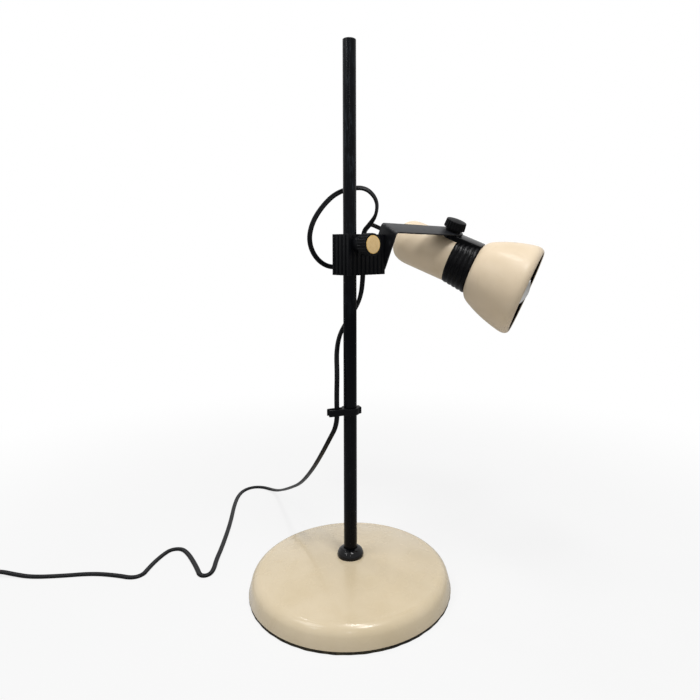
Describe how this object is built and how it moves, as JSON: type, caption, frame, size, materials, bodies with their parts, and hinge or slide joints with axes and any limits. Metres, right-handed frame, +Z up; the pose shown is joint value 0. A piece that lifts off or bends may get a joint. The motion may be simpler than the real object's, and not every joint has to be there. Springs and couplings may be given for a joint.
{
  "type": "desk spot lamp",
  "caption": "Desk spot lamp with a round weighted foot, a tall pole, a ribbed sliding clamp, a bent tilting arm and a swivelling bell-shaped head.",
  "frame": {"origin": "centre of the foot's underside, on the pole's axis", "axes": "+Z up along the pole; the cord leaves towards -X and the head looks towards +X at rest"},
  "size_m": [0.7683, 0.3609, 0.5776],
  "materials": {
    "enamel": "gloss cream enamel",
    "black_satin": "satin black lacquer",
    "black_plastic": "moulded satin black",
    "black_gloss": "glossy black moulding",
    "head_cream": "gloss cream enamel",
    "iron": "raw casting",
    "felt": "matt rubber sheet",
    "steel": "zinc plated",
    "brass": "turned brass",
    "nylon": "natural nylon",
    "gold": "pale gold disc, bare",
    "cord": "matt black sheath",
    "bulb_glass": "white coated glass",
    "bulb_metal": "thin rolled aluminium",
    "bulb_tip": "black glass insulator with solder tip",
    "bakelite": "moulded black holder"
  },
  "bodies": {
    "root": {"base_cover": "enamel", "base_weight": "iron", "base_pad": "felt", "foot_washer": "steel", "foot_bolt": "steel", "foot_spacer": "steel", "pole_tube": "black_satin", "pole_insert": "steel", "pole_cap": "black_plastic", "pole_rosette": "black_gloss", "cord_drop": "cord", "cord_lead": "cord", "cord_tail": "cord", "cord_coil": "cord", "coil_tie": "black_plastic", "cord_end": "cord", "switch_base": "black_plastic", "switch_cover": "black_plastic", "plug_body": "black_plastic", "plug_pins": "steel"},
    "clip": {"cord_clip": "black_plastic"},
    "liner": {"clamp_liner": "nylon", "cord_twist": "cord"},
    "block": {"clamp_block": "black_plastic", "clamp_insert": "brass", "pivot_washer": "black_plastic", "pivot_spring_washer": "steel", "pivot_bolt": "steel", "pivot_nut": "steel", "cord_loop": "cord", "cord_arm_run": "cord"},
    "clamp_pad": {"clamp_pad": "brass"},
    "clamp_knob": {"clamp_knob": "black_plastic", "clamp_knob_disc": "gold", "clamp_screw": "steel"},
    "arm": {"arm_strip": "black_satin", "cord_head_run": "cord"},
    "head": {"head_body": "head_cream", "head_collar": "black_plastic", "head_insert": "brass", "friction_washer": "nylon", "shade": "head_cream", "holder_bridge": "steel", "holder_nipple": "steel", "nipple_nut": "steel", "lampholder_shell": "bakelite", "lampholder_thread": "brass", "lampholder_contact": "brass", "head_gland": "black_plastic"},
    "head_knob_washer": {"head_knob_washer": "steel"},
    "head_knob": {"head_knob": "black_plastic", "head_screw": "steel"},
    "bulb": {"bulb_glass": "bulb_glass", "bulb_cap": "bulb_metal", "bulb_contact": "bulb_tip"},
    "switch_rocker": {"switch_rocker": "black_gloss"}
  },
  "joints": [
    {"name": "clip_slide", "type": "slide", "parent": "root", "child": "clip", "axis": [0, 0, 1], "range_m": [-0.003, 0.025]},
    {"name": "clamp_slide", "type": "slide", "parent": "root", "child": "liner", "axis": [0, 0, 1], "range_m": [-0.06, 0.19], "deforming": ["cord_drop"]},
    {"name": "clamp_turn", "type": "hinge", "parent": "liner", "child": "block", "pos_m": [0, 0, 0.3554], "axis": [0, 0, 1], "range_deg": [-150, 150], "deforming": ["cord_twist"]},
    {"name": "clamp_pad_travel", "type": "slide", "parent": "block", "child": "clamp_pad", "axis": [0.6896, -0.7242, 0], "range_m": [0, 0.0016]},
    {"name": "clamp_knob_turn", "type": "hinge", "parent": "clamp_pad", "child": "clamp_knob", "pos_m": [0, 0, 0.3665], "axis": [0.6896, -0.7242, 0], "range_deg": [0, 719.9]},
    {"name": "arm_tilt", "type": "hinge", "parent": "block", "child": "arm", "pos_m": [0, 0, 0.3442], "axis": [0.7242, 0.6896, 0], "range_deg": [-115, 65], "deforming": ["cord_arm_run"]},
    {"name": "head_swivel", "type": "hinge", "parent": "arm", "child": "head", "pos_m": [0.11909, 0.08888, 0.38229], "axis": [0.3053, -0.2928, 0.9061], "range_deg": [-58, 180], "deforming": ["cord_head_run"]},
    {"name": "head_washer_travel", "type": "slide", "parent": "head", "child": "head_knob_washer", "axis": [0.3053, -0.2928, 0.9061], "range_m": [0, 0.0016]},
    {"name": "head_knob_turn", "type": "hinge", "parent": "head_knob_washer", "child": "head_knob", "pos_m": [0.11909, 0.08888, 0.38229], "axis": [0.3053, -0.2928, 0.9061], "range_deg": [0, 719.9]},
    {"name": "bulb_removal", "type": "slide", "parent": "head", "child": "bulb", "axis": [0.8718, -0.297, -0.3897], "range_m": [0, 0.13]},
    {"name": "switch_rock", "type": "hinge", "parent": "root", "child": "switch_rocker", "pos_m": [-0.428, 0.0175, 0.0104], "axis": [0, 1, 0], "range_deg": [-8, 8]}
  ],
  "couplings": [
    {"joint": "clamp_pad_travel", "follows": "clamp_knob_turn", "m_per_rad": 0.00012732},
    {"joint": "head_washer_travel", "follows": "head_knob_turn", "m_per_rad": 0.00012732}
  ]
}
